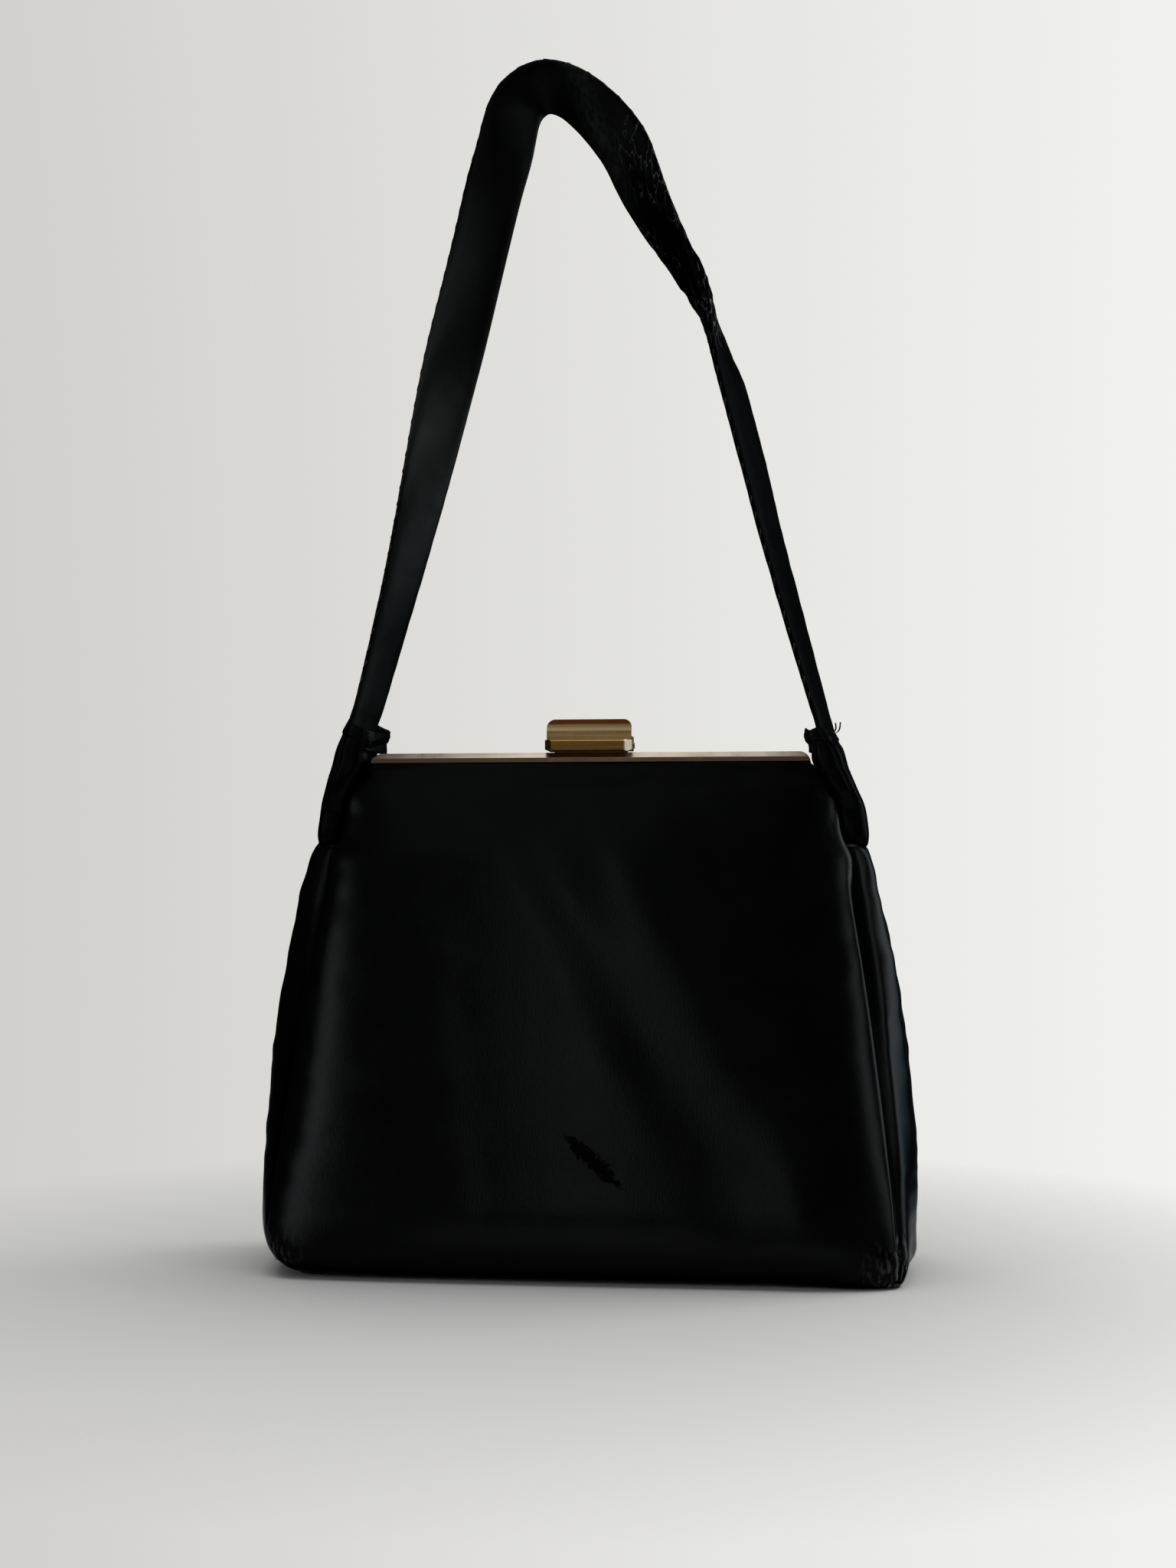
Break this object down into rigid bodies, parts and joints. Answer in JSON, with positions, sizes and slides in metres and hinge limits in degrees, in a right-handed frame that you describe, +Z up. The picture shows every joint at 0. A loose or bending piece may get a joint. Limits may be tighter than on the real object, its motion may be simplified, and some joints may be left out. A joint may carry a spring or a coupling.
{
  "type": "framed clutch purse",
  "caption": "Small black satin evening bag on a hinged gold frame, with swelling gussets, a lever clasp, a lined pouch and a twisted strap handle that swings on the hinge rivets.",
  "frame": {"origin": "centre of the base, where the bag stands", "axes": "+Z up, -Y towards the front with the catch bar, +X to the right seen from the front"},
  "size_m": [0.1792, 0.0638, 0.3291],
  "materials": {
    "black_satin": "satin weave with a soft sheen",
    "lining_cloth": "matt lining cloth",
    "stiffener_board": "plain board",
    "gold_plate": "polished gold plate, lightly worn",
    "steel": "plain wire and strip"
  },
  "bodies": {
    "pouch": {"front_panel": "black_satin", "rear_panel": "black_satin", "left_gusset": "black_satin", "right_gusset": "black_satin", "base_panel": "black_satin", "base_board": "stiffener_board", "front_interlining": "stiffener_board", "rear_interlining": "stiffener_board", "front_lining": "lining_cloth", "rear_lining": "lining_cloth", "left_lining": "lining_cloth", "right_lining": "lining_cloth", "base_lining": "lining_cloth", "lining_pocket": "lining_cloth", "hinge_rivets": "gold_plate"},
    "front_frame_body": {"front_frame": "gold_plate", "front_facing": "lining_cloth", "catch_bar": "gold_plate", "catch_rivets": "gold_plate"},
    "rear_frame_body": {"rear_frame": "gold_plate", "rear_facing": "lining_cloth", "latch_bracket": "gold_plate", "bracket_rivets": "gold_plate", "latch_pin": "steel", "latch_spring": "steel"},
    "latch_body": {"latch_plate": "gold_plate"},
    "handle_body": {"strap": "black_satin", "left_strap_tab": "black_satin", "right_strap_tab": "black_satin", "left_lug": "steel", "right_lug": "steel", "lug_rivets": "steel"}
  },
  "joints": [
    {"name": "front_frame_opening", "type": "hinge", "parent": "pouch", "child": "front_frame_body", "pos_m": [0, 0, 0.1185], "axis": [1, 0, 0], "range_deg": [0, 42], "deforming": ["front_panel", "front_lining"]},
    {"name": "rear_frame_opening", "type": "hinge", "parent": "pouch", "child": "rear_frame_body", "pos_m": [0, 0, 0.1185], "axis": [-1, 0, 0], "range_deg": [0, 42], "deforming": ["rear_panel", "rear_lining"]},
    {"name": "latch_lift", "type": "hinge", "parent": "rear_frame_body", "child": "latch_body", "pos_m": [0, 0.0032, 0.1422], "axis": [-1, 0, 0], "range_deg": [0, 28], "stiffness_Nm_per_rad": 0.01, "springref_deg": -11.46, "deforming": ["latch_spring"]},
    {"name": "handle_swing", "type": "hinge", "parent": "pouch", "child": "handle_body", "pos_m": [0, 0, 0.1185], "axis": [1, 0, 0], "range_deg": [-75, 75]}
  ],
  "couplings": [
    {"joint": "rear_frame_opening", "follows": "front_frame_opening", "ratio": 1}
  ]
}
